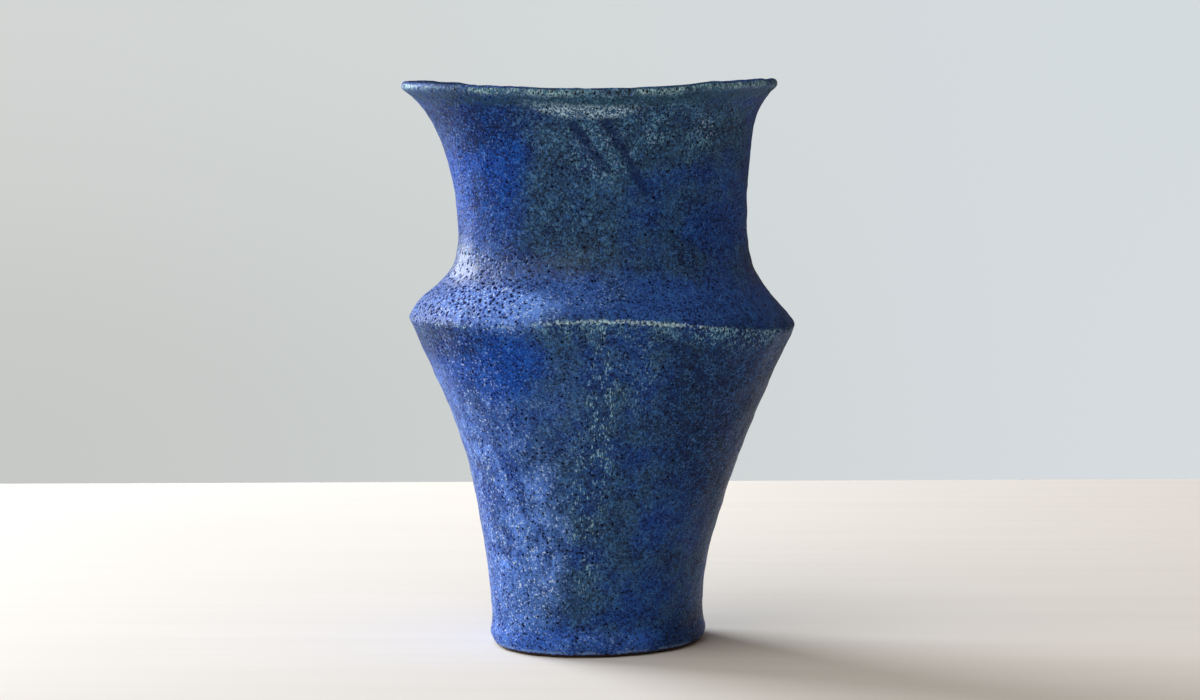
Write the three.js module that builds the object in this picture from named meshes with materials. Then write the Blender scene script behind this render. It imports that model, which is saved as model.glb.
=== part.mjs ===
// Hand-built oval stoneware vase with a keeled shoulder and a flared lip.
// Units are millimetres. +Z is up, +X is the wider side-to-side axis, and -Y is the front.
// The origin is the middle of the flat underside.
// The pot is made of clay sections that are luted together, then coated with glaze.

import * as THREE from "three";

// Clay sections
const floorThickness = 8;
const footSetback = 2; // how far the floor's lower edge lies inside the foot's edge
const waistSetback = 4; // how far its upper edge lies inside the waist of the finished wall
const floorSeamHeight = 9; // how far the floor's seam coil climbs the wall
const floorSeamWidth = 9; // how far it runs in over the floor
const keelSeamDrop = 14.4; // how far the keel's seam coil reaches below the keel
const keelSeamRise = 6.5; // and above it
const rimRadius = 2.5; // half the thickness of the finished rim
const rimCoilDepth = 7.1; // from the top of the rim down to its joint with the lip

// The upper sections meet in slanted joints, which climb from the outside to the inside.
const neckJointRise = 40; // from the keel up to the shoulder's joint with the neck
const neckJointSlant = 11;
const lipJointDrop = 47; // from the top of the rim down to the neck's joint with the lip
const lipJointSlant = 16;

// Glaze coats
const glazeThickness = 0.8;
const linerThickness = 0.8;

// The keel and the rim are not level. Each wave is the rise above the level, going round from
// the right by the back, the left and the front, with one value for each sixteenth of a turn.
const ridgeWave = [
  -0.6, -0.4, 0, 2.5, 5, 4.4, 3, 2.8, 3.2, 2.6, 3, 5.8, 8.6, 5.8, 0.9, -2.2,
];
const rimWave = [
  0, -1.5, -3.6, -6, -8.6, -7.2, -3.7, -1.2, -1.6, -2.2, -3.1, -4.3, -5, -3.3, -0.6, 0.1,
];

// Each station is an oval of the finished outside: its rise over the station below it, its reach
// to the left, right, front and back, and the clay's level thickness there. ridgeSway and rimSway
// say how much of the keel's and the rim's wave its height takes, and skew how far its front lies
// to the left and its back to the right.
const footEdge = {
  rise: 1.2, left: 63.2, right: 62.8, front: 62.2, back: 62.2, wall: 8, skew: 9,
};
const footBulge = {
  rise: 6.8, left: 66.7, right: 66.4, front: 64.8, back: 64.8, wall: 8, skew: 9,
};
const waist = {
  rise: 10, left: 65.2, right: 63.7, front: 62.5, back: 62.5, wall: 8, skew: 9,
};
const lowBody = {
  rise: 29, left: 67.8, right: 65.2, front: 63.5, back: 63.5, wall: 8, skew: 7,
};
const midBody = {
  rise: 37, left: 74, right: 75.4, front: 69, back: 69.5, wall: 8, skew: 3,
};
const highBody = { rise: 34, left: 81.8, right: 86.8, front: 76, back: 76.5, wall: 8 };
const bodyFlare = { rise: 30, left: 91.3, right: 98.6, front: 83.5, back: 84, wall: 8 };
const underRidge = {
  rise: 28, left: 105.6, right: 111, front: 92.5, back: 93, wall: 8, ridgeSway: 0.4,
};
const ridge = {
  rise: 24, left: 117.3, right: 121.7, front: 101, back: 101, wall: 9.5, ridgeSway: 1,
};
const shoulder = {
  rise: 13, left: 109.5, right: 111, front: 92, back: 92.5, wall: 9.5, ridgeSway: 0.8,
};
const neckRoot = {
  rise: 16, left: 92.3, right: 98.4, front: 78, back: 78.5, wall: 8, ridgeSway: 0.4,
};
const neckNarrow = { rise: 22, left: 86.4, right: 91.8, front: 71.5, back: 72, wall: 6.5 };
const neckTop = { rise: 36, left: 89, right: 91.8, front: 73, back: 73.5, wall: 6.5 };
const lipRoot = {
  rise: 32, left: 99.6, right: 94.4, front: 78.5, back: 78.5, wall: 6.5, rimSway: 0.3,
};
const lipFlare = {
  rise: 17, left: 110.6, right: 100.3, front: 86, back: 86, wall: 6, rimSway: 0.6,
};
const rim = {
  rise: 11.5, left: 121.8, right: 110.2, front: 93, back: 93,
  wall: 2 * (rimRadius - glazeThickness), rimSway: 1,
};

// The outside has two smooth stretches, which meet in the sharp keel.
const lowerStretch = [
  footEdge, footBulge, waist, lowBody, midBody, highBody, bodyFlare, underRidge, ridge,
];
const upperStretch = [
  ridge, shoulder, neckRoot, neckNarrow, neckTop, lipRoot, lipFlare, rim,
];

let climbed = 0;
for (const station of [...lowerStretch, ...upperStretch.slice(1)]) {
  climbed += station.rise;
  station.height = climbed;
}
const rimTop = rim.height + rimRadius;

const placeStep = 1 / 64;

// Places are counted in stations along a stretch. Seams and joints lie at their own heights.
const floorSeamPlace = placeAt(lowerStretch, floorThickness + floorSeamHeight);
const keelSeamLowPlace = placeAt(lowerStretch, ridge.height - keelSeamDrop);
const keelSeamHighPlace = placeAt(upperStretch, ridge.height + keelSeamRise);
const neckJoint = jointAt(ridge.height + neckJointRise, neckJointSlant);
const lipJoint = jointAt(rimTop - lipJointDrop, lipJointSlant);
const rimJoint = jointAt(rimTop - rimCoilDepth, 0);

// Every section and coat that runs past one of these rows has its points there.
const footRows = [0, 0.5, 1, 1.5, 2];
const wallRows = sorted([2, 3, 4, 4.5, 5, 6, 7, keelSeamLowPlace, 8]);
const innerWallRows = sorted([floorSeamPlace, ...wallRows]);
const upperRows = sorted([
  0, keelSeamHighPlace, 1, 1.5, 2, 3, 3.5, 4, 5, 5.5, 6,
  neckJoint.outside, neckJoint.inside, lipJoint.outside, lipJoint.inside, rimJoint.outside,
]);

// Facets
const columns = 40; // round each oval
const rimSteps = 5; // over the top of the rim
const rimArcStart = THREE.MathUtils.degToRad(-35);
const rimArcSweep = THREE.MathUtils.degToRad(175);

const seamHollowShare = 0.3; // how far a seam coil is pressed back into its corner

// Skins: the surfaces that the clay and its coats share, as depths from the finished outside
const finishOutside = () => 0;
const clayOutside = () => glazeThickness;
const clayInside = (station) => glazeThickness + station.wall;
const finishInside = (station) => glazeThickness + station.wall + linerThickness;

// The place of a level height, shared out evenly between the stations below and above it. It is
// rounded, so that two rows are either the same or well apart.
function placeAt(stretch, height) {
  const above = stretch.findIndex((station) => station.height >= height);
  const [low, high] = [stretch[above - 1], stretch[above]];
  const place = above - (high.height - height) / (high.height - low.height);
  return Math.round(place / placeStep) * placeStep;
}

function jointAt(height, slant) {
  return {
    outside: placeAt(upperStretch, height),
    inside: placeAt(upperStretch, height + slant),
  };
}

function sorted(places) {
  return [...new Set(places)].sort((a, b) => a - b);
}

function within(places, low, high) {
  return places.filter((place) => place >= low && place <= high);
}

const ridgeCurve = waveCurve(ridgeWave);
const rimCurve = waveCurve(rimWave);

function waveCurve(rises) {
  const points = rises.map((rise) => new THREE.Vector3(0, 0, rise));
  return new THREE.CatmullRomCurve3(points, true, "catmullrom", 0.5);
}

// The height of a station at a share of a turn, where 0 is the right and 0.25 the back
function heightOf(station, turn) {
  const { height, ridgeSway = 0, rimSway = 0 } = station;
  const keel = ridgeSway * ridgeCurve.getPoint(turn).z;
  return height + keel + rimSway * rimCurve.getPoint(turn).z;
}

// A point of a station's oval, drawn in by inset
function ovalPoint(station, inset, turn, height = heightOf(station, turn)) {
  const cos = Math.cos(turn * 2 * Math.PI);
  const sin = Math.sin(turn * 2 * Math.PI);
  const across = (cos < 0 ? station.left : station.right) - inset;
  const along = (sin < 0 ? station.front : station.back) - inset;
  const skew = station.skew ?? 0;
  return new THREE.Vector3(across * cos + skew * sin, along * sin, height);
}

function ringOf(pointAt) {
  return Array.from({ length: columns }, (_, column) => pointAt(column / columns));
}

function level(station, inset, height) {
  return ringOf((turn) => ovalPoint(station, inset, turn, height));
}

// A row of one skin, at a place counted in stations along a stretch
function row(stretch, place, skin) {
  return ringOf((turn) => {
    const points = stretch.map((station) => ovalPoint(station, skin(station), turn));
    const path = new THREE.CatmullRomCurve3(points, false, "catmullrom", 0.5);
    return path.getPoint(place / (stretch.length - 1));
  });
}

function rows(stretch, places, skin) {
  return places.map((place) => row(stretch, place, skin));
}

function between(low, high, share) {
  return low.map((point, column) => point.clone().lerp(high[column], share));
}

// The rows over the top of the rim, from the outside to the inside
function rimArc(radius) {
  const steps = Array.from({ length: rimSteps + 1 }, (_, step) => step / rimSteps);
  return steps.map((step) => ringOf((turn) => {
    const angle = rimArcStart + step * rimArcSweep;
    const inset = rimRadius - radius * Math.cos(angle);
    return ovalPoint(rim, inset, turn, heightOf(rim, turn) + radius * Math.sin(angle));
  }));
}

// Two triangles between neighbouring rows. The shorter diagonal is taken, and of equal ones
// the one from the higher point, so that two pieces that share the four points agree.
function quad(points, a, b, c, d) {
  const first = points[a].distanceToSquared(points[c]);
  const second = points[b].distanceToSquared(points[d]);
  const higher = points[a].z >= points[d].z;
  if (first < second || (first === second && higher)) return [a, b, c, a, c, d];
  return [a, b, d, b, c, d];
}

function geometryOf(points, triangles) {
  const geometry = new THREE.BufferGeometry().setFromPoints(points);
  geometry.setIndex(triangles);
  geometry.computeVertexNormals();
  return geometry;
}

function strip(points, lower, upper) {
  const triangles = [];
  for (let column = 0; column < columns; column += 1) {
    const next = (column + 1) % columns;
    const corners = [lower + column, lower + next, upper + next, upper + column];
    triangles.push(...quad(points, ...corners));
  }
  return triangles;
}

// A hoop whose section is the closed loop of rows, up its outside and down its inside
function hoop(loop) {
  const points = loop.flat();
  const triangles = loop.flatMap((_, index) => {
    const after = (index + 1) % loop.length;
    return strip(points, index * columns, after * columns);
  });
  return geometryOf(points, triangles);
}

// A dish or disc, closed at the axis under its first row and over its last one
function dish(loop, bottomHeight, topHeight) {
  const points = loop.flat();
  const bottom = points.length;
  const top = bottom + 1;
  const last = (loop.length - 1) * columns;
  const triangles = loop.slice(1).flatMap((_, index) => (
    strip(points, index * columns, (index + 1) * columns)
  ));
  for (let column = 0; column < columns; column += 1) {
    const next = (column + 1) % columns;
    triangles.push(bottom, next, column);
    triangles.push(top, last + column, last + next);
  }
  points.push(new THREE.Vector3(0, 0, bottomHeight), new THREE.Vector3(0, 0, topHeight));
  return geometryOf(points, triangles);
}

// Rows at the foot, where the floor, the wall, the roll and the seam coil meet
const floorEdgeLow = level(footEdge, footSetback, 0);
const floorEdgeHigh = level(waist, waistSetback, floorThickness);

function footOf(skin) {
  const coat = skin === finishInside ? linerThickness : 0;
  const height = floorThickness + coat;
  const inset = waistSetback + waist.wall + coat;
  const corner = level(waist, inset, height);
  const toe = level(waist, inset + floorSeamWidth, height);
  const crest = row(lowerStretch, floorSeamPlace, skin);
  const middle = between(between(toe, crest, 0.5), corner, seamHollowShare);
  return { corner, toe, crest, middle };
}

// The rows of the keel's inside that its seam coil covers, below and above the corner
function keelOf(skin) {
  const last = lowerStretch.length - 1;
  const lower = rows(lowerStretch, within(wallRows, keelSeamLowPlace, last), skin);
  const upper = rows(upperStretch, within(upperRows, 0, keelSeamHighPlace), skin);
  const chord = between(lower[0], upper[upper.length - 1], 0.5);
  return { lower, upper, middle: between(chord, upper[0], seamHollowShare) };
}

function floorSlab() {
  return dish([floorEdgeLow, floorEdgeHigh], 0, floorThickness);
}

function footRoll() {
  return hoop([floorEdgeLow, ...rows(lowerStretch, footRows, clayOutside), floorEdgeHigh]);
}

function lowerWall() {
  const foot = footOf(clayInside);
  return hoop([
    floorEdgeHigh,
    ...rows(lowerStretch, wallRows, clayOutside),
    ...rows(lowerStretch, innerWallRows, clayInside).reverse(),
    foot.corner,
  ]);
}

function floorSeamCoil() {
  const foot = footOf(clayInside);
  return hoop([foot.toe, foot.corner, foot.crest, foot.middle]);
}

function keelSeamCoil() {
  const keel = keelOf(clayInside);
  return hoop([...keel.lower, ...keel.upper.slice(1), keel.middle]);
}

// A section of the upper wall between two joints, each cut on a slant through the clay
function upperSection(from, to) {
  const outside = within(upperRows, from.outside, to.outside);
  const inside = within(upperRows, from.inside, to.inside);
  return hoop([
    ...rows(upperStretch, outside, clayOutside),
    ...rows(upperStretch, inside, clayInside).reverse(),
  ]);
}

function shoulderWall() {
  return upperSection({ outside: 0, inside: 0 }, neckJoint);
}

function neckWall() {
  return upperSection(neckJoint, lipJoint);
}

function flaredLip() {
  return upperSection(lipJoint, rimJoint);
}

function rimCoil() {
  return hoop([
    row(upperStretch, rimJoint.outside, clayOutside),
    ...rimArc(rimRadius - glazeThickness),
    row(upperStretch, rimJoint.inside, clayInside),
  ]);
}

function outerGlaze() {
  const coat = (skin) => [
    ...rows(lowerStretch, [...footRows, ...wallRows.slice(1)], skin),
    ...rows(upperStretch, upperRows.slice(1), skin),
  ];
  return hoop([
    ...coat(finishOutside),
    ...rimArc(rimRadius),
    row(upperStretch, rimJoint.inside, finishInside),
    row(upperStretch, rimJoint.inside, clayInside),
    ...rimArc(rimRadius - glazeThickness).reverse(),
    ...coat(clayOutside).reverse(),
  ]);
}

function linerGlaze() {
  const coat = (skin) => {
    const foot = footOf(skin);
    const below = within(innerWallRows, floorSeamPlace, keelSeamLowPlace);
    const above = within(upperRows, keelSeamHighPlace, rimJoint.inside);
    return [
      foot.toe,
      foot.middle,
      ...rows(lowerStretch, below, skin),
      keelOf(skin).middle,
      ...rows(upperStretch, above, skin),
    ];
  };
  return dish(
    [...coat(clayInside), ...coat(finishInside).reverse()],
    floorThickness,
    floorThickness + linerThickness,
  );
}

const finishes = {
  bareClay: { color: 0x4a352b, roughness: 0.9, metalness: 0 },
  blueGlaze: { color: 0x2f4a7a, roughness: 0.5, metalness: 0 },
  darkGlaze: { color: 0x1c1a1b, roughness: 0.4, metalness: 0 },
};

const vase = new THREE.Group();

function add(name, geometry, finish) {
  const mesh = new THREE.Mesh(geometry, new THREE.MeshStandardMaterial(finish));
  mesh.name = name;
  vase.add(mesh);
}

add("floor_slab", floorSlab(), finishes.bareClay);
add("foot_roll", footRoll(), finishes.bareClay);
add("lower_wall", lowerWall(), finishes.bareClay);
add("floor_seam_coil", floorSeamCoil(), finishes.bareClay);
add("keel_seam_coil", keelSeamCoil(), finishes.bareClay);
add("shoulder_wall", shoulderWall(), finishes.bareClay);
add("neck_wall", neckWall(), finishes.bareClay);
add("flared_lip", flaredLip(), finishes.bareClay);
add("rim_coil", rimCoil(), finishes.bareClay);
add("outer_glaze", outerGlaze(), finishes.blueGlaze);
add("liner_glaze", linerGlaze(), finishes.darkGlaze);

export default vase;
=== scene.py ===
import bpy
import math
import random
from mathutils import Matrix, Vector


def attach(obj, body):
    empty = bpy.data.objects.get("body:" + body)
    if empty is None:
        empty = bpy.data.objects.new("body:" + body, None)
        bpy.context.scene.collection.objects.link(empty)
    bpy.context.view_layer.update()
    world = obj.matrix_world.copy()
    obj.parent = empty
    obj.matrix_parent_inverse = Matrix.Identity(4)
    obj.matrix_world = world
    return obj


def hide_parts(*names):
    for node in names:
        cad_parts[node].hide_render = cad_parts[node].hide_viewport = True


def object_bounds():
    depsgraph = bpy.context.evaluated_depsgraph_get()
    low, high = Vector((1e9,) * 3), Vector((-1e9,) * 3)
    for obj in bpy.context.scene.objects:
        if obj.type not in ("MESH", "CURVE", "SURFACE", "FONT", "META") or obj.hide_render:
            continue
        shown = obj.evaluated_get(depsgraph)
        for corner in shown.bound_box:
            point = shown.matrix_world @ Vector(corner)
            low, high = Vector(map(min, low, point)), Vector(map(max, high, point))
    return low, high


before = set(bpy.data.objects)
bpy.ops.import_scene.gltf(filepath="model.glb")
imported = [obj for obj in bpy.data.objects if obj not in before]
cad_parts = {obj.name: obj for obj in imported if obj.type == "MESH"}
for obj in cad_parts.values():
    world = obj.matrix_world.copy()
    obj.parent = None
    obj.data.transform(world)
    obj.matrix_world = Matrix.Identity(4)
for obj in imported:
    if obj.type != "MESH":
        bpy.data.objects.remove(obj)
cad_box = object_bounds()

# Sizes and places are in metres, and MM makes metres of millimetres
MM = 0.001

# The view: where it is seen from, by how many degrees it looks down, and its lens and film
EYE = (0.0009, -2.0, 0.362)
LOOKING_DOWN = 5.144
LENS_MM = 97.17
FILM_MM = 36

# The soft light: where it hangs and what it points at, its side, its power in watts and its colour
LIGHT_AT = (-1.8, 1.41, 0.95)
LIGHT_AIM = (0, 0, 0.12)
LIGHT_SIDE = 1.5
LIGHT_WATTS = 104
LIGHT_COLOR = (0.88, 0.94, 1.0)

# The surface that the vase stands on: where it begins and ends, half its width, and its turn in degrees
TOP_NEAR = -3.2
TOP_FAR = 0.762
TOP_SIDE = 3.0
TOP_TURN = 1.83

# Points closer than the first are one point, and a face closer than the second touches a piece
MERGED_WITHIN = 0.01 * MM
TOUCHING_WITHIN = 0.02 * MM

# Two triangles that turn and skew by less than these degrees join into a four-sided face
QUAD_TURN = 60
QUAD_SKEW = 80

# An edge that turns by more than these degrees stays crisp, on the keel, the liner and the foot
CRISP_KEEL = 40
CRISP_LINER = 50
CRISP_FOOT = 35

# How finely the heights of the keel and the rim are followed round the vase
SECTORS = 120

# Between which heights the keel's ridge lies, all round, and the stretch that it is looked for in
KEEL_RIDGE = (190 * MM, 215 * MM)
ROUND_THE_KEEL = (185 * MM, 220 * MM)

# A height that is above the foot and below the rim
MIDWAY = 100 * MM

# The blue coat: how crisp the keel is, how much is laid on all over, how far it is from the bottom to
# the top of its swells, lumps and crust, and how thin it may get where they sink in
KEEL_CREASE = 0.62
COAT_LIFT = 0.5 * MM
BROAD_SWELL = 1.0 * MM
LUMPS = 1.7 * MM
CRUST = 0.55 * MM
LEAST_COAT = 0.12 * MM

# Finger drags on the neck's front: from x and z to x and z, and half the width. Then their depth
DRAGS = [
    ((-15 * MM, 324 * MM), (5 * MM, 298 * MM), 4.2 * MM),
    ((5 * MM, 325 * MM), (28 * MM, 283 * MM), 4.4 * MM),
]
DRAG_DEPTH = 0.5 * MM

# Marks on the front: middle x and z, half the width and height, and how far they stand out
MARKS = [
    ((-8 * MM, 333.5 * MM), (46 * MM, 5 * MM), 0.7 * MM),
    ((-6 * MM, 340 * MM), (60 * MM, 3.6 * MM), -0.45 * MM),
    ((7 * MM, 309 * MM), (5 * MM, 16 * MM), 0.35 * MM),
    ((-8 * MM, 239.5 * MM), (42 * MM, 3 * MM), 0.4 * MM),
]

# Pinholes: the share of them that has each size, its radius, and the steps of its corners
PINHOLES = [(0.45, 0.7 * MM, 1), (0.35, 0.85 * MM, 2), (0.2, 1.05 * MM, 2)]
PINHOLE_SEED = 7

# How deep a pinhole is, what share of the shortest edge beside it its radius may take, and how its
# corners bend
PINHOLE_DEPTH = 0.9 * MM
PINHOLE_ROOM = 0.92
PINHOLE_CORNER = 0.14

# The number of the pinholes' clay, painted near black as shade, among the coat's materials
PINHOLE_SLOT = 1

# A surface that faces up by more than this holds no pinhole
FACING_UP = 0.9

# How likely a point is to hold a pinhole, and what the shoulder and its left, the body's left and the
# foot add to that
CHANCE_ANYWHERE = 0.003
CHANCE_ON_SHOULDER = 0.006
CHANCE_SHOULDER_LEFT = 0.2
CHANCE_BODY_LEFT = 0.03
CHANCE_AT_FOOT = 0.02

# Where these are added: between which heights on the shoulder, from where on its left and how far on in
# full, up to which height and from where on the body's left, and up to which height on the foot
PITTED_SHOULDER = (208 * MM, 246 * MM)
SHOULDER_LEFT_FROM = -20 * MM
SHOULDER_LEFT_REACH = 40 * MM
PITTED_BODY_TOP = 190 * MM
PITTED_BODY_SIDE = -10 * MM
PITTED_FOOT_TOP = 16 * MM

# Soft ovals on the front of the blue glaze, in millimetres: middle x and z, half the width and height,
# and how strong they are
NECK_TOP = (20, 323, 84, 34)
NECK_FRONT = (-14, 278, 42, 50)
BLUE_PATCH = (70, 261, 24, 18)
TEAL_STREAK = (-2, 105, 28, 120)
KEEL_FRONT = (12, 205, 66, 30)
KEEL_RIGHT = (84, 198, 34, 18)
# Low haze on the left: partly glaze bloom, partly painted light
LOW_HAZE_AND_LIGHT = (-46, 38, 26, 30, 0.55)
TRAILS = [(1, 150, 11, 76), (-9, 90, 14, 64, 0.8), (22, 178, 18, 34, 0.6)]
DEEP_PLACES = [(-70, 300, 34, 64, 0.7), (-66, 180, 44, 28, 0.7)]
# Pale haze: partly glaze bloom, partly painted light on the lit left and the shoulder
BLOOM_AND_LIGHT_PLACES = [
    (-62, 213, 46, 17),
    (-40, 214, 26, 12, 0.3),
    (-8, 224, 36, 14, 0.28),
    (-80, 150, 32, 56, 0.7),
    (-34, 142, 34, 56, 0.12),
    (-52, 66, 42, 84, 0.85),
    (-48, 58, 28, 36, 0.3),
    (-4, 6, 34, 13, 0.5),
]
# Dark blue ovals: partly darker glaze, partly painted shade on the right, under the keel and at the foot
DARKER_GLAZE_AND_SHADE_PLACES = [
    (-72, 328, 44, 28, 0.75),
    (-34, 272, 44, 44, 0.3),
    (40, 262, 46, 40, 0.15),
    (-92, 192, 34, 15, 0.6),
    (82, 140, 60, 90, 0.72),
    (4, 128, 24, 50, 0.25),
    (60, 8, 34, 20, 0.8),
]
CRUSTY_SPOTS = [
    (-6, 339, 70, 9, 0.5),
    (64, 319, 10, 12),
    (34, 318, 8, 11),
    (2, 306, 22, 22, 0.7),
    (-42, 241, 3, 3),
]

# The frosted ridge under the rim: its middle, half its width and height, where it is lowest, and at
# which distance from there it is how much higher
RIDGE_MIDDLE = (-8 * MM, 330.5 * MM)
RIDGE_HALF = (44 * MM, 5.5 * MM)
RIDGE_LOWEST_AT = -2 * MM
RIDGE_RISE = (38 * MM, 4.5 * MM)

# The blue glaze's colours, as linear red, green and blue
ROYAL_BLUE = (0.017, 0.07, 0.34)
TEAL = (0.038, 0.091, 0.178)
LOWER_LEFT_BLUE = (0.01, 0.085, 0.5)
FOOT_BLUE = (0.045, 0.15, 0.68)
# Periwinkle haze: partly glaze bloom, partly painted light
PERIWINKLE_BLOOM_AND_LIGHT = (0.14, 0.32, 0.96)
DEEP_BLUE = (0.001, 0.078, 0.53)
# Dark navy: partly darker glaze, partly painted shade
NAVY_AND_SHADE_BLUE = (0.003, 0.016, 0.075)
PALE_CRUMB = (0.04, 0.19, 0.57)
# Pale crumbs in the haze: paler as painted glints
PALE_CRUMB_IN_BLOOM_AND_LIGHT = (0.22, 0.42, 1.0)
PALE_CRUMB_IN_DEEP = (0.004, 0.18, 0.8)
DARK_CRUMB = (0.007, 0.012, 0.04)
FLECK = (0.14, 0.34, 0.52)
TRAIL = (0.38, 0.66, 0.8)
# Near white crumbs: partly painted glints
SALT_AND_GLINT = (0.6, 0.74, 1.0)
RIDGE_HAZE = (0.05, 0.18, 0.34)
RIDGE_FROST = (0.6, 0.82, 0.98)
DRAG_POOL = (0.006, 0.02, 0.1)
GROOVE_GREEN = (0.03, 0.1, 0.15)
RIM_GREEN = (0.09, 0.23, 0.31)
RIM_FROST = (0.56, 0.82, 0.9)
RIM_DASH = (0.02, 0.011, 0.008)
KEEL_FROST = (0.58, 0.82, 0.92)
BROWN_SPECK = (0.006, 0.005, 0.006)
BLUE_SPECK = (0.001, 0.004, 0.03)
HOLE_RING = (0.02, 0.075, 0.55)
# Near black in the pits: partly painted shade in the holes
HOLE = (0.001, 0.002, 0.01)
FOOT_GLINT = (0.3, 0.46, 0.75)
CLAY_LINE = (0.045, 0.024, 0.016)

# The Mix node's two colour inputs and its colour output, by number
MIX_FIRST, MIX_SECOND, MIX_RESULT = 6, 7, 2


class Wire:
    """A socket of a shader. Sums written on it add Math nodes."""

    def __init__(self, finish, socket):
        self.finish = finish
        self.socket = socket

    def maths(self, operation, *terms):
        inputs = dict(enumerate(terms))
        return self.finish.node("ShaderNodeMath", {"operation": operation}, inputs)

    def __add__(self, other):
        return self.maths("ADD", self, other)

    def __sub__(self, other):
        return self.maths("SUBTRACT", self, other)

    def __mul__(self, other):
        return self.maths("MULTIPLY", self, other)

    def __truediv__(self, other):
        return self.maths("DIVIDE", self, other)

    def __rsub__(self, other):
        return self.maths("SUBTRACT", other, self)

    __radd__ = __add__
    __rmul__ = __mul__

    def size(self):
        return self.maths("ABSOLUTE", self)

    def squared(self):
        return self.maths("POWER", self, 2.0)

    def larger(self, other):
        return self.maths("MAXIMUM", self, other)

    def rise(self, low, high):
        """0 below low, 1 above high, and a smooth step between them."""
        inputs = {"Value": self, "From Min": low, "From Max": high}
        return self.finish.node("ShaderNodeMapRange", {"interpolation_type": "SMOOTHSTEP"}, inputs)

    def fall(self, low, high):
        return 1 - self.rise(low, high)


class Finish:
    """A material that is built up node by node."""

    def __init__(self, name):
        self.material = bpy.data.materials.new(name)
        self.material.use_nodes = True
        self.tree = self.material.node_tree
        self.shader = self.tree.nodes["Principled BSDF"]
        places = self.tree.nodes.new("ShaderNodeTexCoord")
        self.place = Wire(self, places.outputs["Object"])
        self.x, self.y, self.z = self.parts(self.place)

    def node(self, kind, settings=None, inputs=None, output=0):
        node = self.tree.nodes.new(kind)
        for name, value in (settings or {}).items():
            setattr(node, name, value)
        for name, value in (inputs or {}).items():
            self.feed(node, name, value)
        return Wire(self, node.outputs[output])

    def feed(self, node, name, value):
        if isinstance(value, Wire):
            self.tree.links.new(value.socket, node.inputs[name])
        else:
            node.inputs[name].default_value = value

    def surface(self, **values):
        for name, value in values.items():
            self.feed(self.shader, name.replace("_", " "), value)

    def parts(self, vector):
        node = self.tree.nodes.new("ShaderNodeSeparateXYZ")
        self.feed(node, 0, vector)
        return [Wire(self, socket) for socket in node.outputs]

    def attribute(self, name):
        return self.node("ShaderNodeAttribute", {"attribute_name": name}, output="Fac")

    def stretched(self, factors):
        """The place with each axis taken times a factor, which draws a pattern out."""
        inputs = {0: self.place, 1: factors}
        return self.node("ShaderNodeVectorMath", {"operation": "MULTIPLY"}, inputs)

    def swayed(self, grain, amount):
        """The place moved about by noise, which makes a pattern's edges crooked."""
        sway = {"Vector": self.place, "Scale": 0.5 / grain, "Detail": 2.0}
        moved = {0: self.node("ShaderNodeTexNoise", None, sway, "Color"), 1: [amount] * 3, 2: self.place}
        return self.node("ShaderNodeVectorMath", {"operation": "MULTIPLY_ADD"}, moved)

    def noise(self, grain, detail=3.0, roughness=0.55, place=None, seed=0.0):
        """Noise from 0 to 1 whose lumps are about grain across."""
        inputs = {
            "Vector": place or self.place, "W": seed, "Scale": 0.5 / grain, "Detail": detail,
            "Roughness": roughness,
        }
        return self.node("ShaderNodeTexNoise", {"noise_dimensions": "4D"}, inputs, "Fac")

    def cells(self, grain, place=None):
        """The distance to the nearest of points that lie about grain apart, in shares of it."""
        inputs = {"Vector": place or self.place, "Scale": 1 / grain}
        return self.node("ShaderNodeTexVoronoi", None, inputs, "Distance")

    def crumbs(self, grain, place=None):
        """Crumbs about grain across: a random number for each, and its dome from 1 down."""
        far = self.cells(grain, place)
        value = Wire(self, far.socket.node.outputs["Color"])
        return self.parts(value)[0], 1 - far

    def mix(self, share, below, above):
        """The colour below, with a share of the one above laid over it."""
        first, second = [tone if isinstance(tone, Wire) else (*tone, 1.0) for tone in (below, above)]
        inputs = {"Factor": share, MIX_FIRST: first, MIX_SECOND: second}
        return self.node("ShaderNodeMix", {"data_type": "RGBA"}, inputs, MIX_RESULT)

    def bump(self, height, distance, strength=1.0):
        inputs = {"Height": height, "Distance": distance, "Strength": strength}
        return self.node("ShaderNodeBump", None, inputs)

    def patch(self, x, z, across, up, strength=1.0):
        """A soft oval on the front, of full strength in its middle and 0 from its edge on."""
        beside = ((self.x - x * MM) / (across * MM)).squared()
        above = ((self.z - z * MM) / (up * MM)).squared()
        on_front = self.y.fall(-20 * MM, 10 * MM)
        return (beside + above).fall(0.15, 1.0) * on_front * strength

    def patches(self, ovals):
        """Soft ovals that add up where they overlap."""
        return sum(self.patch(*oval) for oval in ovals)

    def strongest_of(self, ovals):
        """Soft ovals of which the strongest shows where they overlap."""
        strongest = self.patch(*ovals[0])
        for oval in ovals[1:]:
            strongest = strongest.larger(self.patch(*oval))
        return strongest


def deselect():
    if bpy.context.object and bpy.context.object.mode != "OBJECT":
        bpy.ops.object.mode_set(mode="OBJECT")
    bpy.ops.object.select_all(action="DESELECT")


def choose(piece):
    deselect()
    piece.select_set(True)
    bpy.context.view_layer.objects.active = piece


def finish_modifiers(piece):
    choose(piece)
    for modifier in list(piece.modifiers):
        bpy.ops.object.modifier_apply(modifier=modifier.name)


def subdivide(piece, levels):
    smooth = piece.modifiers.new("smooth", "SUBSURF")
    smooth.levels = smooth.render_levels = levels
    finish_modifiers(piece)


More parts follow.
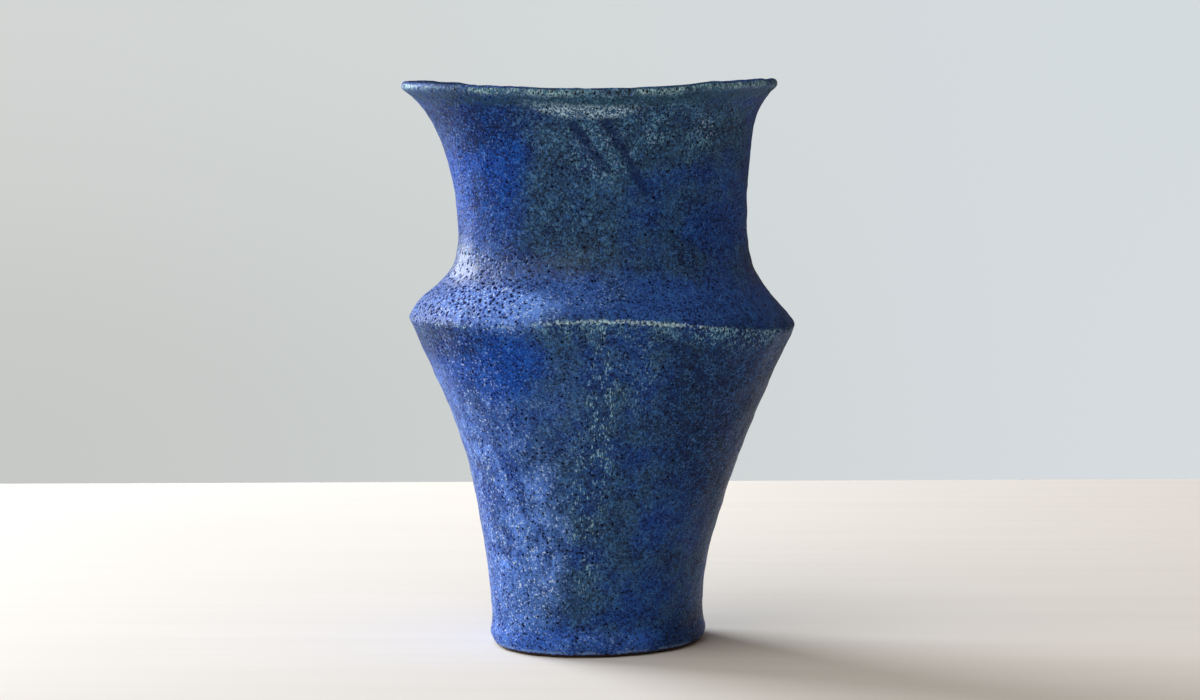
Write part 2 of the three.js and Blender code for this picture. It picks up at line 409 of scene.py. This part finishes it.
def refined_copy(node_name, name):
    """A copy of a CAD node, with its loose triangles merged."""
    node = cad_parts[node_name]
    piece = node.copy()
    piece.data = node.data.copy()
    piece.name = name
    piece.data.name = name
    piece.parent = None
    for key in list(piece.keys()):
        del piece[key]
    bpy.context.scene.collection.objects.link(piece)
    choose(piece)
    bpy.ops.object.mode_set(mode="EDIT")
    bpy.ops.mesh.select_all(action="SELECT")
    bpy.ops.mesh.remove_doubles(threshold=MERGED_WITHIN)
    bpy.ops.mesh.customdata_custom_splitnormals_clear()
    bpy.ops.object.mode_set(mode="OBJECT")
    return piece


def join_into_quads():
    """Joins the triangles of the mesh in edit mode into four-sided faces."""
    bpy.ops.mesh.select_all(action="SELECT")
    bpy.ops.mesh.tris_convert_to_quads(
        face_threshold=math.radians(QUAD_TURN), shape_threshold=math.radians(QUAD_SKEW)
    )


def in_quads(piece):
    choose(piece)
    bpy.ops.object.mode_set(mode="EDIT")
    join_into_quads()
    bpy.ops.object.mode_set(mode="OBJECT")


def faces_on(piece, nodes):
    """The faces of piece that lie against one of the CAD nodes."""
    found = []
    for face in piece.data.polygons:
        for node in nodes:
            hit, point, _, _ = node.closest_point_on_mesh(face.center)
            if hit and (point - face.center).length < TOUCHING_WITHIN:
                found.append(face.index)
                break
    return found


def deselect_mesh(piece):
    for parts in (piece.data.vertices, piece.data.edges, piece.data.polygons):
        for part in parts:
            part.select = False


def delete_faces(piece, indices):
    """Deletes some faces and joins the rest into quads."""
    deselect_mesh(piece)
    for index in indices:
        piece.data.polygons[index].select = True
    choose(piece)
    bpy.ops.object.mode_set(mode="EDIT")
    bpy.ops.mesh.delete(type="FACE")
    join_into_quads()
    bpy.ops.object.mode_set(mode="OBJECT")


def crease_edges(piece, chosen, amount):
    crease = piece.data.attributes.get("crease_edge")
    crease = crease or piece.data.attributes.new("crease_edge", "FLOAT", "EDGE")
    for index in chosen:
        crease.data[index].value = amount


def sharp_edges(piece, degrees):
    """Edges whose two faces turn by more than some degrees, and the free edges."""
    normals = {}
    for face in piece.data.polygons:
        for key in face.edge_keys:
            normals.setdefault(key, []).append(face.normal)
    found = []
    for edge in piece.data.edges:
        sides = normals.get(edge.key, [])
        if len(sides) < 2 or sides[0].angle(sides[1], 0) > math.radians(degrees):
            found.append(edge.index)
    return found


def ridge_edges(coat):
    """The edges along the keel's ridge."""
    found = []
    for index in sharp_edges(coat, CRISP_KEEL):
        ends = [coat.data.vertices[v].co.z for v in coat.data.edges[index].vertices]
        if KEEL_RIDGE[0] < sum(ends) / 2 < KEEL_RIDGE[1]:
            found.append(index)
    return found


def turn_of(point):
    return math.atan2(point.y, point.x)


def crest_by_sector(vertices, rank):
    """The height of the vertex that ranks first in each of many sectors round the vase."""
    best = {}
    for vertex in vertices:
        sector = int((turn_of(vertex.co) / math.tau + 0.5) * SECTORS) % SECTORS
        if sector not in best or rank(vertex.co) > rank(best[sector].co):
            best[sector] = vertex
    return [best[sector].co.z for sector in range(SECTORS)]


def height_at(crest, point):
    """The crest's height above or below a point, blended between neighbouring sectors."""
    place = (turn_of(point) / math.tau + 0.5) * SECTORS - 0.5
    first = math.floor(place)
    share = place - first
    return crest[first % SECTORS] * (1 - share) + crest[(first + 1) % SECTORS] * share


def write_attribute(piece, name, values):
    attribute = piece.data.attributes.new(name, "FLOAT", "POINT")
    attribute.data.foreach_set("value", values)


def displace(piece, amount, weights=None, texture=None):
    """Moves the surface out, by all of the amount, by a texture, or as the vertices' weights say."""
    modifier = piece.modifiers.new("relief", "DISPLACE")
    modifier.strength = amount
    modifier.mid_level = 0.5 if texture else 0
    if texture:
        modifier.texture = texture
        modifier.texture_coords = "LOCAL"
    if weights:
        group = piece.vertex_groups.new(name="relief")
        for index, weight in weights.items():
            group.add([index], weight, "REPLACE")
        modifier.vertex_group = group.name
    finish_modifiers(piece)
    piece.vertex_groups.clear()


def clouds(name, grain, depth):
    texture = bpy.data.textures.new(name, "CLOUDS")
    texture.noise_scale = grain
    texture.noise_depth = depth
    return texture


def mark_weights(piece, middle, half):
    """How much each vertex of the front lies in an oval, from 0 at its edge to 1 in the middle."""
    weights = {}
    for vertex in piece.data.vertices:
        across = (vertex.co.x - middle[0]) / half[0]
        up = (vertex.co.z - middle[1]) / half[1]
        away = math.hypot(across, up)
        if vertex.co.y < 0 and away < 1:
            weights[vertex.index] = math.cos(away * math.pi) * 0.5 + 0.5
    return weights


def drag_weights(piece):
    """How deep each vertex lies in a finger drag, from 0 at its side to 1 along its middle."""
    weights = {}
    for vertex in piece.data.vertices:
        if vertex.co.y > 0:
            continue
        best = 0
        for (x0, z0), (x1, z1), half in DRAGS:
            along = Vector((x1 - x0, z1 - z0))
            place = Vector((vertex.co.x - x0, vertex.co.z - z0))
            share = min(1, max(0, place.dot(along) / along.length_squared))
            away = (place - share * along).length / half
            best = max(best, math.cos(min(away, 1) * math.pi) * 0.5 + 0.5)
        if best > 0:
            weights[vertex.index] = best
    return weights


def glaze_coat(glaze, pinhole_clay_and_shade):
    """The blue coat: the CAD shell, smoothed, with its relief and pinholes."""
    clay = [node for name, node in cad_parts.items() if "glaze" not in name]
    coat = refined_copy("outer_glaze", "blue_glaze_coat")
    coat.data.materials.clear()
    coat.data.materials.append(glaze)
    coat.data.materials.append(pinhole_clay_and_shade)
    backing = split_off_backing(coat, clay)
    crease_edges(coat, ridge_edges(coat), KEEL_CREASE)
    subdivide(coat, 3)
    model_relief(coat)
    write_heights(coat)
    pinholes(coat)
    level_with(coat, cad_box[1][2])
    keep_off(coat, backing)
    keep_within(coat, cad_box)
    close_with(coat, backing)
    return coat


def split_off_backing(coat, clay):
    """Takes the side that lies on the clay off the coat, as a piece of its own."""
    against_clay = faces_on(coat, clay)
    backing = coat.copy()
    backing.data = coat.data.copy()
    backing.name = "blue_glaze_backing"
    bpy.context.scene.collection.objects.link(backing)
    delete_faces(coat, against_clay)
    delete_faces(backing, set(range(len(backing.data.polygons))) - set(against_clay))
    return backing


def model_relief(coat):
    """The coat's swells, lumps and crust, the finger drags and the marks."""
    displace(coat, COAT_LIFT)
    displace(coat, BROAD_SWELL, texture=clouds("swell", 60 * MM, 1))
    displace(coat, LUMPS, texture=clouds("lumps", 16 * MM, 2))
    displace(coat, CRUST, texture=clouds("crust", 5 * MM, 2))
    displace(coat, -DRAG_DEPTH, weights=drag_weights(coat))
    for middle, half, rise in MARKS:
        displace(coat, rise, weights=mark_weights(coat, middle, half))


def write_heights(coat):
    """Gives each vertex its height below the rim and above the keel, and its depth in a drag."""
    vertices = coat.data.vertices
    near_keel = [v for v in vertices if ROUND_THE_KEEL[0] < v.co.z < ROUND_THE_KEEL[1]]
    keel_crest = crest_by_sector(near_keel, lambda point: point.to_2d().length)
    rim_crest = crest_by_sector(vertices, lambda point: point.z)
    below_rim = [height_at(rim_crest, v.co) - v.co.z for v in vertices]
    above_keel = [v.co.z - height_at(keel_crest, v.co) for v in vertices]
    drags = drag_weights(coat)
    write_attribute(coat, "below_rim", below_rim)
    write_attribute(coat, "above_keel", above_keel)
    write_attribute(coat, "drag", [drags.get(v.index, 0) for v in vertices])


def keep_off(coat, backing):
    """Lifts what the relief sank into the clay back to a thin film over it."""
    for vertex in coat.data.vertices:
        hit, point, into_clay, _ = backing.closest_point_on_mesh(vertex.co)
        film = (point - vertex.co).dot(into_clay)
        if hit and film < LEAST_COAT:
            vertex.co -= into_clay * (LEAST_COAT - film)


def keep_within(coat, box):
    """Presses back the few points that stand out of a box."""
    for vertex in coat.data.vertices:
        vertex.co = [min(max(place, low), high) for place, low, high in zip(vertex.co, *box)]


def level_with(piece, height):
    """Draws a piece in or out along its height, until it reaches as high as given."""
    tallest = max(vertex.co.z for vertex in piece.data.vertices)
    choose(piece)
    bpy.ops.object.mode_set(mode="EDIT")
    bpy.ops.mesh.select_all(action="SELECT")
    bpy.ops.transform.resize(value=(1, 1, height / tallest), center_override=(0, 0, 0))
    bpy.ops.object.mode_set(mode="OBJECT")


def pinhole_chance(point, normal):
    """How likely a point is to hold a pinhole: none on top of the rim, most on the shoulder's left."""
    if normal.z > FACING_UP:
        return 0
    chance = CHANCE_ANYWHERE
    if PITTED_SHOULDER[0] < point.z < PITTED_SHOULDER[1]:
        chance += CHANCE_ON_SHOULDER
        if point.y < 0:
            leftward = (SHOULDER_LEFT_FROM - point.x) / SHOULDER_LEFT_REACH
            chance += CHANCE_SHOULDER_LEFT * min(1, max(0, leftward))
    if point.z < PITTED_BODY_TOP and point.x < PITTED_BODY_SIDE:
        chance += CHANCE_BODY_LEFT
    if point.z < PITTED_FOOT_TOP:
        chance += CHANCE_AT_FOOT
    return chance


def room_round_points(piece):
    """The length of each point's shortest edge, and the points at its edges' other ends."""
    room = [math.inf] * len(piece.data.vertices)
    beside = [set() for _ in piece.data.vertices]
    for edge in piece.data.edges:
        first, second = edge.vertices
        length = (piece.data.vertices[first].co - piece.data.vertices[second].co).length
        for point, other in ((first, second), (second, first)):
            room[point] = min(room[point], length)
            beside[point].add(other)
    return room, beside


def pinholes(coat):
    """Burst bubbles: holes sunk into the coat at single points that lie apart."""
    draw = random.Random(PINHOLE_SEED)
    room, beside = room_round_points(coat)
    taken = set()
    shares = [share for share, _, _ in PINHOLES]
    chosen = {size: [] for size in PINHOLES}
    for vertex in coat.data.vertices:
        if draw.random() > pinhole_chance(vertex.co, vertex.normal) or vertex.index in taken:
            continue
        size = draw.choices(PINHOLES, shares)[0]
        if size[1] < room[vertex.index] * PINHOLE_ROOM:
            chosen[size].append(vertex.co.copy())
            for neighbour in beside[vertex.index]:
                taken.update(beside[neighbour])
    for (_, radius, steps), places in chosen.items():
        sink_pinholes(coat, places, radius, steps)


def sink_pinholes(coat, places, radius, steps):
    """Turns single points into round holes with dark clay at their bottom, painted near black as shade.
    """
    select_points(coat, places)
    choose(coat)
    bpy.context.tool_settings.mesh_select_mode = (True, False, False)
    bpy.ops.object.mode_set(mode="EDIT")
    bpy.ops.mesh.bevel(
        offset=radius, segments=steps, profile=PINHOLE_CORNER, affect="VERTICES", clamp_overlap=False
    )
    bpy.context.tool_settings.mesh_select_mode = (False, False, True)
    bpy.ops.mesh.inset(thickness=radius / 6, depth=-PINHOLE_DEPTH)
    coat.active_material_index = PINHOLE_SLOT
    bpy.ops.object.material_slot_assign()
    bpy.ops.object.mode_set(mode="OBJECT")


def rounded(point):
    """A point's place to the micrometre."""
    return tuple(round(part, 6) for part in point)


def select_points(piece, places):
    """Selects the vertices that lie at the places."""
    deselect_mesh(piece)
    wanted = {rounded(place) for place in places}
    for vertex in piece.data.vertices:
        vertex.select = rounded(vertex.co) in wanted


def close_with(coat, backing):
    """Joins the side that lies on the clay to the coat, and bridges both ends."""
    deselect()
    backing.select_set(True)
    coat.select_set(True)
    bpy.context.view_layer.objects.active = coat
    bpy.ops.object.join()
    bpy.ops.object.mode_set(mode="EDIT")
    bpy.context.tool_settings.mesh_select_mode = (False, True, False)
    for low, high in ((-math.inf, MIDWAY), (MIDWAY, math.inf)):
        bpy.ops.mesh.select_all(action="DESELECT")
        bpy.ops.mesh.select_non_manifold()
        bpy.ops.object.mode_set(mode="OBJECT")
        for edge in coat.data.edges:
            z = coat.data.vertices[edge.vertices[0]].co.z
            if not low < z < high:
                edge.select = False
        keep_edge_selection(coat)
        bpy.ops.object.mode_set(mode="EDIT")
        bpy.ops.mesh.bridge_edge_loops()
    bpy.ops.mesh.select_all(action="SELECT")
    bpy.ops.mesh.normals_make_consistent(inside=False)
    bpy.ops.object.mode_set(mode="OBJECT")


def keep_edge_selection(piece):
    """Leaves only the ends of the selected edges selected, and no face."""
    ends = {v for edge in piece.data.edges if edge.select for v in edge.vertices}
    for face in piece.data.polygons:
        face.select = False
    for vertex in piece.data.vertices:
        vertex.select = vertex.index in ends


def liner_coat(glaze):
    """The dark lining inside."""
    liner = refined_copy("liner_glaze", "dark_liner_coat")
    liner.data.materials.clear()
    liner.data.materials.append(glaze)
    in_quads(liner)
    crease_edges(liner, sharp_edges(liner, CRISP_LINER), 1.0)
    subdivide(liner, 2)
    return liner


def foot_clay(node_name, name):
    """A bare clay piece of the foot, smoothed."""
    piece = refined_copy(node_name, name)
    in_quads(piece)
    crease_edges(piece, sharp_edges(piece, CRISP_FOOT), 1.0)
    subdivide(piece, 2)
    return piece


class BlueGlaze(Finish):
    """The crusty blue glaze. Each step takes the colour so far and lays its own over it."""

    def __init__(self):
        super().__init__("crusty_blue_glaze")
        self.find_places()
        self.draw_grain()
        self.find_bloom_and_light()
        tone = self.bloomed_and_lit(self.blue_and_teal())
        tone = self.crumbly(self.shaded(tone))
        tone = self.salted_and_glinting(self.trailed(self.flecked(tone)))
        tone = self.rimmed(self.frosted(tone))
        tone = self.worn_at_keel(tone)
        tone = self.pitted(self.specked(tone))
        self.surface(Base_Color=self.bared_at_foot(tone))
        self.relief_and_gloss()

    def find_places(self):
        """The parts of the vase that the glaze differs on."""
        self.below_rim = self.attribute("below_rim")
        self.above_keel = self.attribute("above_keel")
        self.shoulder = self.above_keel.rise(0, 5 * MM) * self.above_keel.fall(20 * MM, 36 * MM)
        self.foot = self.z.fall(10 * MM, 20 * MM)
        self.left = self.x.fall(-64 * MM, -34 * MM)
        self.behind = self.y.rise(-20 * MM, 30 * MM)
        self.neck_top = self.patch(*NECK_TOP)
        self.neck_front = self.neck_top.larger(self.patch(*NECK_FRONT))
        self.streak = self.patch(*TEAL_STREAK)
        self.keel_front = self.patch(*KEEL_FRONT)
        self.deep = self.strongest_of(DEEP_PLACES)
        self.spots = self.patches(CRUSTY_SPOTS)

    def draw_grain(self):
        """Noise of three sizes, crumbs with crooked edges, and crumbs drawn out downwards."""
        self.broad = self.noise(16 * MM)
        self.mottle = self.noise(5 * MM, seed=3.0)
        self.clusters = self.noise(1.1 * MM, detail=2.0, seed=7.0)
        self.crooked = self.swayed(0.25 * MM, 0.9 * MM)
        self.fine, self.fine_dome = self.crumbs(0.85 * MM, self.crooked)
        self.coarse, self.coarse_dome = self.crumbs(1.6 * MM, self.crooked)
        self.runs, _ = self.crumbs(0.8 * MM, self.stretched((1.0, 1.0, 0.6)))
        self.trails, _ = self.crumbs(0.6 * MM, self.stretched((1.0, 1.0, 0.24)))

    def find_bloom_and_light(self):
        """The pale haze, in clouds on the left and nearly even on the shoulder: partly glaze bloom,
        partly painted light.
        """
        self.bloom_and_light_places = self.patches(BLOOM_AND_LIGHT_PLACES)
        drift = self.noise(4 * MM, detail=4.0, place=self.stretched((1.0, 1.0, 0.5)), seed=5.0)
        haze = (drift * 0.75 + self.mottle * 0.25).rise(0.4, 0.6) * 0.85 + 0.08
        bloom_and_light = self.bloom_and_light_places * haze.larger(self.shoulder * 0.8)
        bloom_and_light = bloom_and_light * (self.z.rise(0, 40 * MM) * 0.5 + 0.5)
        low_edge = self.x.fall(-66 * MM, -52 * MM) * self.z.fall(90 * MM, 130 * MM)
        self.bloom_and_light = bloom_and_light.larger(self.patch(*LOW_HAZE_AND_LIGHT)) * (1 - low_edge * 0.5)

    def blue_and_teal(self):
        """The ground: blue, and teal where the glaze lies thick."""
        blue_places = self.left * 0.12 + self.shoulder * 0.1 + self.foot * 0.14
        blue_places = blue_places + self.patch(*BLUE_PATCH) * 0.2
        teal_places = self.neck_front * 0.15 + self.streak * 0.05
        thick = self.broad * 0.6 + self.mottle * 0.4 + teal_places - blue_places
        self.teal_share = thick.rise(0.38, 0.64)
        tone = self.mix(self.teal_share, ROYAL_BLUE, TEAL)
        lower_left = self.left * self.z.fall(170 * MM, 200 * MM)
        tone = self.mix(lower_left * 0.5, tone, LOWER_LEFT_BLUE)
        return self.mix(self.foot * 0.8, tone, FOOT_BLUE)

    def bloomed_and_lit(self, tone):
        # Periwinkle haze: partly glaze bloom, partly painted light on the lit left and the shoulder
        on_back = self.behind * self.broad.fall(0.42, 0.5) * 0.2
        share = self.bloom_and_light.larger(self.shoulder * 0.15).larger(on_back)
        return self.mix(share, tone, PERIWINKLE_BLOOM_AND_LIGHT)

    def shaded(self, tone):
        """Pure deep blue on the left, and dark blue that is partly darker glaze and partly painted
        shade.
        """
        darker_and_shade = self.strongest_of(DARKER_GLAZE_AND_SHADE_PLACES).larger(self.broad.rise(0.5, 0.64) * 0.4)
        return self.mix(darker_and_shade, self.mix(self.deep, tone, DEEP_BLUE), NAVY_AND_SHADE_BLUE)

    def crumbly(self, tone):
        """Pale crumbs, paler as painted glints in the haze, and the dark between them, partly painted
        shade.
        """
        speckle = self.fine * 0.6 + self.coarse * 0.24 + self.clusters * 0.4 + self.mottle * 0.45
        pale = self.mix(self.bloom_and_light, PALE_CRUMB, PALE_CRUMB_IN_BLOOM_AND_LIGHT)
        pale = self.mix(self.deep, pale, PALE_CRUMB_IN_DEEP)
        tone = self.mix(speckle.rise(0.92, 1.16) * 0.62, tone, pale)
        shadow = speckle.fall(0.55, 0.8) * (1 - self.bloom_and_light * 0.5) * 0.9
        return self.mix(shadow, tone, DARK_CRUMB)

    def flecked(self, tone):
        """Pale green flecks, thick on the neck's front and in a fringe under the keel."""
        below_keel = self.above_keel.rise(-16 * MM, -1 * MM) * self.above_keel.fall(0, 1.5 * MM)
        thick_fringe = self.keel_front * 0.7 + self.patch(*KEEL_RIGHT) * 2.4
        self.fringe = below_keel * (thick_fringe + self.broad.rise(0.42, 0.6) * 0.5)
        places = self.neck_front * 0.45 + self.neck_top * 0.5 + self.streak * 0.15
        places = places + self.fringe + self.spots
        places = places + self.behind * self.broad.rise(0.48, 0.58) * 0.5 - self.deep * 0.12 + 0.15
        thick = self.mottle.rise(0.44, 0.57) * 0.6 + self.clusters.rise(0.46, 0.58) * 0.4
        return self.mix(self.runs.rise(0.6, 0.9) * thick * places, tone, FLECK)

    def trailed(self, tone):
        """Thin pale strings that ran down."""
        places = self.strongest_of(TRAILS) + self.fringe * 0.5 + self.behind * 0.25
        gathered = (self.mottle * 0.4 + self.clusters * 0.6).rise(0.46, 0.56)
        return self.mix(self.trails.rise(0.78, 0.88) * places * gathered * 0.85, tone, TRAIL)

    def salted_and_glinting(self, tone):
        """Single crumbs that are nearly white, most in the haze: partly white crumbs, partly painted
        glints.
        """
        places = self.bloom_and_light + self.bloom_and_light_places * 0.3 + self.left * 0.1 + self.spots * 0.6 + 0.06
        salt = self.fine.rise(0.8, 0.9) * self.clusters.rise(0.46, 0.56)
        return self.mix(salt * places, tone, SALT_AND_GLINT)

    def frosted(self, tone):
        """The pale arc on the ridge under the rim, and the dark pools in the finger drags."""
        reach, rise = RIDGE_RISE
        bend = ((self.x - RIDGE_LOWEST_AT) / reach).squared() * rise
        above = ((self.z - bend - RIDGE_MIDDLE[1]) / RIDGE_HALF[1]).squared()
        beside = ((self.x - RIDGE_MIDDLE[0]) / RIDGE_HALF[0]).squared()
        broken = self.mottle.rise(0.36, 0.5) * 0.6 + 0.4
        ridge = (above + beside).fall(0.1, 1.0) * (1 - self.behind) * broken
        tone = self.mix(ridge * 0.5, tone, RIDGE_HAZE)
        frost = ridge * (self.runs * 0.5 + self.clusters * 0.6).rise(0.46, 0.7)
        tone = self.mix(frost * 0.95, tone, RIDGE_FROST)
        drag = self.attribute("drag").rise(0.0, 0.7)
        return self.mix(drag * 0.7 * (1 - frost), tone, DRAG_POOL)

    def rimmed(self, tone):
        """The green groove under the rim, and its pale worn band with brown dashes."""
        groove = self.below_rim.rise(4 * MM, 7 * MM) * self.below_rim.fall(9 * MM, 14 * MM)
        tone = self.mix(groove * 0.5, tone, GROOVE_GREEN)
        band = self.below_rim.rise(0.8 * MM, 1.8 * MM) * self.below_rim.fall(3 * MM, 6.5 * MM)
        worn = band * (self.noise(14 * MM, seed=11.0).rise(0.38, 0.58) * 0.75 + 0.15)
        tone = self.mix(worn * 0.9, tone, RIM_GREEN)
        frost = worn * (self.runs * 0.5 + self.clusters * 0.6).rise(0.48, 0.78)
        tone = self.mix(frost * 0.95, tone, RIM_FROST)
        dashes = self.cells(2.4 * MM, self.stretched((1.0, 1.0, 0.45))).fall(0.2, 0.3)
        return self.mix(dashes * band, tone, RIM_DASH)

    def worn_at_keel(self, tone):
        """The pale ragged line along the keel."""
        ragged = self.above_keel + (self.clusters - 0.5) * (6 * MM)
        wear = self.keel_front * 0.2 + self.fine * 0.3 + self.coarse * 0.3 + self.mottle * 0.6
        line = ragged.size().fall(0.2 * MM, 1.8 * MM) * wear.rise(0.62, 0.95)
        return self.mix(line * 0.95, tone, KEEL_FROST)

    def specked(self, tone):
        """Dark iron specks, bluer on the left."""
        places = self.noise(14 * MM, detail=2.0, seed=14.0).rise(0.36, 0.56) * 0.8 + 0.2
        self.specks = self.cells(2.6 * MM).fall(0.15, 0.24) * places
        dark = self.mix(self.left, BROWN_SPECK, BLUE_SPECK)
        return self.mix(self.specks * 0.95, tone, dark)

    def pitted(self, tone):
        """Small black pits, partly painted shade, with a bright blue ring, most on the left of the
        shoulder.
        """
        kind, dome = self.crumbs(3 * MM, self.crooked)
        places = self.left * (self.shoulder + 0.16) + self.bloom_and_light_places * 0.1 + self.foot * 0.2
        near = (kind + places + 0.05).rise(0.88, 0.94)
        self.pits = (dome + self.left * self.shoulder * 0.05).rise(0.71, 0.79) * near
        ring = dome.rise(0.45, 0.62) * near * (self.left * 0.4 + self.shoulder * self.left * 0.3)
        return self.mix(self.pits * 0.95, self.mix(ring, tone, HOLE_RING), HOLE)

    def bared_at_foot(self, tone):
        """The glaze's lower edge: a broken glint, and the brown clay beneath it."""
        height = self.z + (self.clusters - 0.5) * (1.6 * MM)
        glint = height.rise(2.2 * MM, 2.8 * MM) * height.fall(3.4 * MM, 4.4 * MM)
        tone = self.mix(glint * self.mottle.rise(0.4, 0.55) * 0.5, tone, FOOT_GLINT)
        return self.mix(height.fall(1.8 * MM, 2.4 * MM), tone, CLAY_LINE)

    def relief_and_gloss(self):
        """Crumbs that stand out, matte pits and deep places, and a sheen at the neck's root."""
        crust = self.fine * self.fine_dome * 0.3 + self.coarse * self.coarse_dome * 0.5
        crust = crust + self.clusters * 0.6 - self.specks * 0.4 - self.pits * 0.8
        matte = self.deep * self.x.rise(-90 * MM, -74 * MM)
        roughness = 0.36 + self.teal_share * 0.08 - self.fine * 0.1 + matte * 0.3
        roughness = roughness.larger(self.pits.larger(self.specks * 0.8))
        sheen = self.above_keel.rise(20 * MM, 30 * MM) * self.above_keel.fall(40 * MM, 55 * MM)
        self.surface(Roughness=roughness, Normal=self.bump(crust, 1.3 * MM))
        self.surface(Specular_IOR_Level=0.08, Coat_Weight=sheen * 0.26, Coat_Roughness=0.3)


def bare_clay(name, dark, light, gloss=0.5):
    """Gritty unglazed clay, in patches of a dark and a light tone."""
    clay = Finish(name)
    grit = clay.noise(1.2 * MM, detail=4.0, roughness=0.65)
    patches = clay.noise(12 * MM, seed=2.0)
    tone = clay.mix(patches.rise(0.35, 0.65), dark, light)
    specks = clay.cells(4 * MM).fall(0.08, 0.16)
    flecked = clay.mix(specks * 0.8, tone, (0.01, 0.008, 0.007))
    clay.surface(
        Base_Color=flecked,
        Roughness=0.78 + grit * 0.2,
        Normal=clay.bump(grit, 0.5 * MM, 0.6),
        Specular_IOR_Level=gloss,
    )
    return clay.material


def dark_liner():
    """The thin brown-black lining glaze."""
    liner = Finish("satin_dark_liner")
    mottle = liner.noise(15 * MM, detail=4.0)
    grain = liner.noise(1.5 * MM, detail=2.0, seed=2.0)
    tone = liner.mix(mottle.rise(0.3, 0.7), (0.009, 0.008, 0.009), (0.02, 0.015, 0.013))
    liner.surface(
        Base_Color=tone,
        Roughness=0.38 + mottle * 0.2,
        Normal=liner.bump(grain + mottle, 0.3 * MM, 0.5),
    )
    return liner.material


def stand_in(piece, replaced):
    """Lets a finished piece stand in for a CAD node."""
    choose(piece)
    bpy.ops.object.shade_smooth()
    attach(piece, "root")
    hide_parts(replaced)


def table_top():
    """A pale plain surface that ends a good way behind the vase, with painted shade on its far left."""
    deselect()
    bpy.ops.mesh.primitive_plane_add(size=1, location=(0, (TOP_NEAR + TOP_FAR) / 2, 0))
    top = bpy.context.object
    top.name = "table_top"
    top.scale = (2 * TOP_SIDE, TOP_FAR - TOP_NEAR, 1)
    bpy.ops.object.transform_apply(location=True, rotation=False, scale=True)
    top.rotation_euler.z = math.radians(TOP_TURN)
    bpy.ops.object.transform_apply(location=False, rotation=True, scale=False)
    pale = Finish("pale_table")
    streaks = pale.noise(12 * MM, place=pale.stretched((0.05, 1.0, 1.0)))
    tone = pale.mix(streaks.rise(0.3, 0.7), (0.805, 0.745, 0.69), (0.825, 0.77, 0.715))
    # Painted shade: the far left of the table, towards the lamp, is painted darker
    far_left_painted_shade = pale.y.rise(-0.1, 0.6) * pale.x.fall(-0.6, 0.1)
    tone = pale.mix(far_left_painted_shade * 0.9, tone, (0.64, 0.6, 0.56))
    pale.surface(Base_Color=tone, Roughness=0.7, Specular_IOR_Level=0.15)
    top.data.materials.append(pale.material)


class Surroundings:
    """What is round the vase. Its light comes from the directions that it names."""

    def __init__(self):
        self.world = bpy.data.worlds.new("pale_surroundings")
        self.world.use_nodes = True
        self.tree = self.world.node_tree
        self.tree.nodes.clear()
        directions = self.node("ShaderNodeTexCoord", output="Generated")
        self.x, self.y, self.z = self.parts(directions)

    node = Finish.node
    feed = Finish.feed
    mix = Finish.mix
    parts = Finish.parts

    def shine(self, tone):
        return self.node("ShaderNodeBackground", None, {"Color": tone, "Strength": 1.0})


def studio_light():
    """A large soft light behind on the left, and pale surroundings that light the right dimly."""
    around = Surroundings()
    bpy.context.scene.world = around.world
    across = around.x.rise(-0.2, 0.2)
    shown_low = around.mix(across, (0.565, 0.58, 0.56), (0.67, 0.715, 0.74))
    shown_high = around.mix(across, (0.65, 0.67, 0.655), (0.66, 0.71, 0.735))
    shown = around.mix(around.z.rise(-0.12, 0.02), shown_low, shown_high)
    across = around.x.rise(-0.25, 0.15)
    left = around.mix(around.z.rise(0.1, 0.7), (0.28, 0.26, 0.24), (1.98, 1.95, 1.86))
    front = around.mix(across, left, (0.138, 0.122, 0.1))
    behind = around.mix(across, (0.3, 0.32, 0.33), (0.12, 0.09, 0.065))
    light = around.mix(around.y.rise(-0.2, 0.2), front, behind)
    seen = around.node("ShaderNodeLightPath", output="Is Camera Ray")
    shines = {0: seen, 1: around.shine(light), 2: around.shine(shown)}
    end = around.tree.nodes.new("ShaderNodeOutputWorld")
    around.feed(end, "Surface", around.node("ShaderNodeMixShader", None, shines))

    deselect()
    bpy.ops.object.light_add(type="AREA", location=LIGHT_AT)
    lamp = bpy.context.object
    lamp.name = "soft_light"
    lamp.visible_camera = False
    lamp.data.shape = "SQUARE"
    lamp.data.size = LIGHT_SIDE
    lamp.data.energy = LIGHT_WATTS
    lamp.data.color = LIGHT_COLOR
    aim = Vector(LIGHT_AIM) - lamp.location
    lamp.rotation_euler = aim.to_track_quat("-Z", "Y").to_euler()


def view_from_the_front():
    deselect()
    bpy.ops.object.camera_add(location=EYE, rotation=(math.radians(90 - LOOKING_DOWN), 0, 0))
    camera = bpy.context.object
    camera.name = "front_view"
    camera.data.lens = LENS_MM
    camera.data.sensor_width = FILM_MM
    bpy.context.scene.camera = camera
    bpy.context.scene.view_settings.view_transform = "Standard"


view_from_the_front()
studio_light()
table_top()

clay_brown = bare_clay("bare_brown_clay", (0.05, 0.026, 0.016), (0.1, 0.055, 0.034))
# The pinholes' clay is painted near black and bluer than the bare clay: painted shade in the holes
pit_dark, pit_light = (0.002, 0.003, 0.01), (0.006, 0.007, 0.02)
pit_clay_and_shade = bare_clay("clay_and_shade_in_the_pinholes", pit_dark, pit_light, gloss=0.04)
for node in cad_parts.values():
    node.data.materials.clear()
    node.data.materials.append(clay_brown)

stand_in(glaze_coat(BlueGlaze().material, pit_clay_and_shade), "outer_glaze")
stand_in(liner_coat(dark_liner()), "liner_glaze")
for node_name in ("foot_roll", "floor_slab"):
    stand_in(foot_clay(node_name, node_name + "_clay"), node_name)
